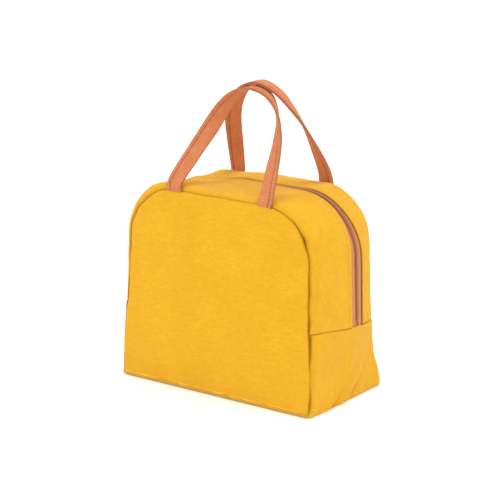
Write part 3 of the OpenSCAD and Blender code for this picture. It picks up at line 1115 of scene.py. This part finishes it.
def makeTab():
    low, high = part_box("pull_tab")
    middle = (low + high) / 2
    x = middle.x - pullTab["thick"] / 2
    under, steps = tabPin.z - low.z, pullTab["steps"]
    mesh = bmesh.new()
    outer, inner = [], []
    for step in range(steps):
        turn = 2 * math.pi * step / steps
        c, s = math.cos(turn), math.sin(turn)
        across = math.copysign(abs(c) ** 0.6, c)
        up = math.copysign(abs(s) ** 0.75, s)
        z = tabPin.z + (pullTab["overPin"] if s > 0 else under) * up
        wide = pullTab["halfWidth"] * (1 - pullTab["taper"] * max(0.0, -up))
        outer.append(mesh.verts.new((x, middle.y + across * wide, z)))
        holeZ = tabPin.z - pullTab["holeDrop"] + pullTab["holeOver" if s > 0 else "holeUnder"] * up * 0.9
        inner.append(mesh.verts.new((x, middle.y + pullTab["holeHalf"] * across, holeZ)))
    rings = []
    for ring in (outer, inner):
        rings += [mesh.edges.new((first, second)) for first, second in zip(ring, ring[1:] + ring[:1])]
    bmesh.ops.bridge_loops(mesh, edges=rings)
    bmesh.ops.subdivide_edges(mesh, edges=[edge for edge in mesh.edges if edge not in rings], cuts=3)
    bmesh.ops.recalc_face_normals(mesh, faces=mesh.faces)
    bmesh.ops.solidify(mesh, geom=mesh.faces, thickness=pullTab["thick"])
    bmesh.ops.recalc_face_normals(mesh, faces=mesh.faces)
    piece = keepPiece("pullTab", mesh, "zip_metal")
    softenEdges(piece, pullTab["edge"])
    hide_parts("pull_tab")
    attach(piece, "tab")


# the handles: a band of folded webbing carried along each arch

strap = {
    "width": 18 * mm,
    "thick": 3 * mm,
    # half spread, depth from the middle and height above the foot, from the foot to the crown, in millimetres
    "front": [(58, -57, 0), (58.5, -53, 10), (52, -34, 34), (44.5, -15, 58), (34.5, -1, 82), (20, 5, 99),
              (0, 6.5, 106)],
    "rear": [(58, 57, 0), (57.5, 54, 14), (54, 46, 34), (47, 33, 63), (37, 24.5, 84), (21, 19, 102),
             (0, 16, 110.5)],
    "footZ": joints["front_handle_swing"]["pos_m"][2],
    "frontTwist": 2.2,  # how late the webbing turns from flat on the panel to flat on the hand
    "rearTwist": 1.1,
    "steps": 13,  # between two of those spots
    "footRows": (1.2, 2.4, 3.6),  # how far the sewn foot goes down, in millimetres
    "stitchPitch": 3.4 * mm,
    "stitchFrom": 14 * mm,
    "bendHeight": 11 * mm,  # a height above the foot, not used to bend anything
}


def archSpots(side):
    path = strap["front" if side < 0 else "rear"]
    knots = [Vector((-x * mm, y * mm, strap["footZ"] + z * mm)) for x, y, z in path]
    knots += [Vector((-knot.x, knot.y, knot.z)) for knot in reversed(knots[:-1])]
    knots = [knots[0] * 2 - knots[1]] + knots + [knots[-1] * 2 - knots[-2]]
    spots = []
    for before, start, end, after in zip(knots, knots[1:], knots[2:], knots[3:]):
        for step in range(strap["steps"]):
            share = step / strap["steps"]
            spot = start * 2 + (end - before) * share + (before * 2 - start * 5 + end * 4 - after) * share**2
            spots.append((spot + (start * 3 - before - end * 3 + after) * share**3) / 2)
    return spots + [knots[-2]]


stitchLine = -0.53  # where the stitched groove runs, as a share of the half width


def strapProfile():
    # the section as shares of its half width and half thickness, with the sewn edge folded over
    wide, thick = strap["width"] / 2, strap["thick"] / 2
    face = [(-0.955, 1), (-0.8, 1), (-0.64, 0.98), (-0.57, 0.9), (-0.53, 0.62), (-0.49, 0.9), (-0.42, 1.0)]
    face += [(-0.2, 1.02), (0.1, 1.03), (0.4, 1.02), (0.7, 1.0), (0.88, 0.97), (0.955, 0.86)]
    edge = [(0.99, 0.55), (1.0, 0.22), (0.985, 0)]
    folded = [(-0.99, -0.7), (-1.0, -0.35), (-0.95, 0), (-1.0, 0.35), (-0.99, 0.7)]
    ring = face + edge + [(a, -b) for a, b in reversed(face)] + folded
    return [(a * wide, b * thick) for a, b in ring]


def makeHandle(side):
    twist = strap["frontTwist"] if side < 0 else strap["rearTwist"]
    profile = strapProfile()
    centres = archSpots(side)
    crown = max(spot.z for spot in centres)
    sides, ups = [], []
    for step, spot in enumerate(centres):
        tangent = (centres[min(step + 1, len(centres) - 1)] - centres[max(step - 1, 0)]).normalized()
        across = (Vector((0, 1, 0)) - tangent * tangent.y).normalized()
        rise = min(1.0, max(0.0, (spot.z - strap["footZ"]) / (crown - strap["footZ"])))
        angle = -math.pi / 2 * (1 - rise**twist)
        over = math.cos(angle) * across + math.sin(angle) * tangent.cross(across)
        sides.append(over.normalized())
        ups.append(tangent.cross(over).normalized())
    first, last = centres[0].copy(), centres[-1].copy()
    for down in strap["footRows"]:
        lower = Vector((0, -side * down * 0.9, -down)) * mm
        centres.insert(0, first + lower)
        sides.insert(0, sides[0])
        ups.insert(0, ups[0])
        centres.append(last + lower)
        sides.append(sides[-1])
        ups.append(ups[-1])
    lengths = [0.0]
    for a, b in pairs(centres):
        lengths.append(lengths[-1] + (b - a).length)
    walk = [0.0]
    for a, b in pairs([Vector((*spot, 0)) for spot in profile + profile[:1]]):
        walk.append(walk[-1] + (b - a).length)
    count = len(centres)
    around = len(profile)

    def place(column, row):
        a, b = profile[column % around]
        swell = 1 + 0.03 * noise.noise(Vector((lengths[row] * 30, side * 4.0, 0)))
        ripple = 0.25 * mm * noise.noise(Vector((a * 60, lengths[row] * 55, side * 2.0)))
        return centres[row] + sides[row] * a * swell + ups[row] * (b + ripple)

    mesh = bmesh.new()
    bmesh.ops.create_grid(mesh, x_segments=around, y_segments=count - 1, size=1)
    darker = mesh.verts.layers.float.new("creaseShade")
    layer = mesh.loops.layers.uv.new("weave")
    for face in mesh.faces:
        for loop in face.loops:
            column = round((loop.vert.co.x / 2 + 0.5) * around)
            row = round((loop.vert.co.y / 2 + 0.5) * (count - 1))
            loop[layer].uv = (walk[column], lengths[row])
    for vert in mesh.verts:
        column, row = round((vert.co.x / 2 + 0.5) * around), round((vert.co.y / 2 + 0.5) * (count - 1))
        wide = profile[column % around][0] / (strap["width"] / 2)
        # painted shade in the stitched groove and along both edges of the webbing
        vert[darker] = 0.75 * hump(wide, stitchLine, 0.07) + 0.4 * ease(abs(wide), 0.93, 1.0)
        vert.co = place(column, row)
    bmesh.ops.remove_doubles(mesh, verts=mesh.verts, dist=0.01 * mm)
    bmesh.ops.holes_fill(mesh, edges=[edge for edge in mesh.edges if edge.is_boundary], sides=0)
    bmesh.ops.recalc_face_normals(mesh, faces=mesh.faces)
    word = sideWord(side)
    piece = keepPiece(word + "Handle", mesh, "webbing")
    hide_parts(word + "_handle")
    start = strap["footZ"] - 1 * mm
    end = start + strap["bendHeight"]
    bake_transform(piece)
    spots = []
    nextAt = strap["stitchFrom"]
    grooveOut, grooveUp = profile[4]
    for row in range(1, count - 1):
        if nextAt <= lengths[row] < lengths[-1] - strap["stitchFrom"]:
            nextAt += strap["stitchPitch"]
            along = (centres[row + 1] - centres[row - 1]).normalized()
            for face in (-1, 1):
                up = ups[row] * face
                spots.append((centres[row] + sides[row] * grooveOut + up * (grooveUp + 0.12 * mm), along, up))
    stitches = stitchRow(word + "HandleStitch", spots, "webbing", "rustThread", 2.5 * mm, 0.6 * mm)
    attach(stitches, word + "_grip")


# putting it together

placeCamera()
placeLamps()
print("camera and lamps placed")

for side in (-1, 1):
    makePanel(side)
makeBand()
print("panels and base band made")
for side in (-1, 1):
    for half in (-1, 1):
        makeGusset(side, half)
        makeTape(side, half)
        makeCoil(side, half)
        makeGussetStitches(side, half)
print("gusset and zip made")
makeStops()
makeSlider()
makeTab()
for side in (-1, 1):
    makeHandle(side)
print("slider, pull tab and handles made")

layFloor()
bpy.context.scene.view_settings.view_transform = "Standard"
